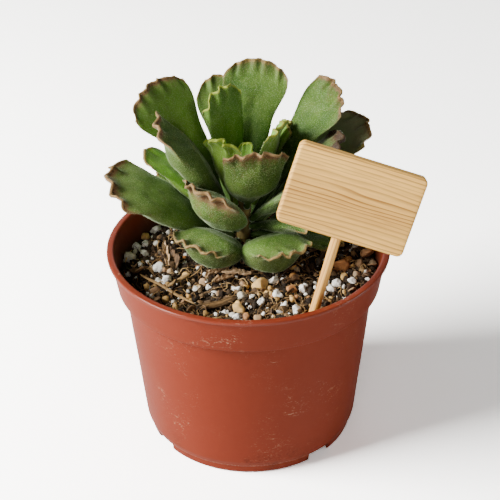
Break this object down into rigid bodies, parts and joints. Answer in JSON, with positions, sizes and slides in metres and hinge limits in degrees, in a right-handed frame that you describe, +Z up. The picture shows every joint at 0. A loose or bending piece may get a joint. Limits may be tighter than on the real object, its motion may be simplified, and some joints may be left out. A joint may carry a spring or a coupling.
{
  "type": "potted succulent plant",
  "caption": "Crinkle-leaf succulent in a tapered plastic pot: wedge-shaped leaves with waved tips round a short stem, soil with pebbles, and a bare wooden label on a stick.",
  "frame": {"origin": "bottom centre of the pot, on the flat disc in the middle of its underside", "axes": "+Z up, -Y to the front, where the label stands, and +X to the right as seen from the front"},
  "size_m": [0.0983, 0.0919, 0.1131],
  "materials": {
    "terracotta": "satin moulded plastic, terracotta coloured, with light scuffs near the foot",
    "peat": "damp peat with fibres, white perlite and tan pebbles",
    "bark": "matt yellowish-brown bark with leaf scars",
    "leaf": "soft satin skin with fine short hairs, brownish along the crinkled tip",
    "pine": "sanded raw pine with fine grain along the board"
  },
  "bodies": {
    "root": {"pot": "terracotta", "soil": "peat", "stem": "bark", "label_board": "pine", "label_stake": "pine", "leaf_01": "leaf", "leaf_02": "leaf", "leaf_03": "leaf", "leaf_04": "leaf", "leaf_05": "leaf", "leaf_06": "leaf", "leaf_07": "leaf", "leaf_08": "leaf", "leaf_09": "leaf", "leaf_10": "leaf", "leaf_11": "leaf", "leaf_12": "leaf", "leaf_13": "leaf", "leaf_14": "leaf", "leaf_15": "leaf", "leaf_16": "leaf", "leaf_17": "leaf", "leaf_18": "leaf", "leaf_19": "leaf", "leaf_20": "leaf", "leaf_21": "leaf", "leaf_22": "leaf", "leaf_23": "leaf", "leaf_24": "leaf", "leaf_25": "leaf"}
  },
  "joints": []
}
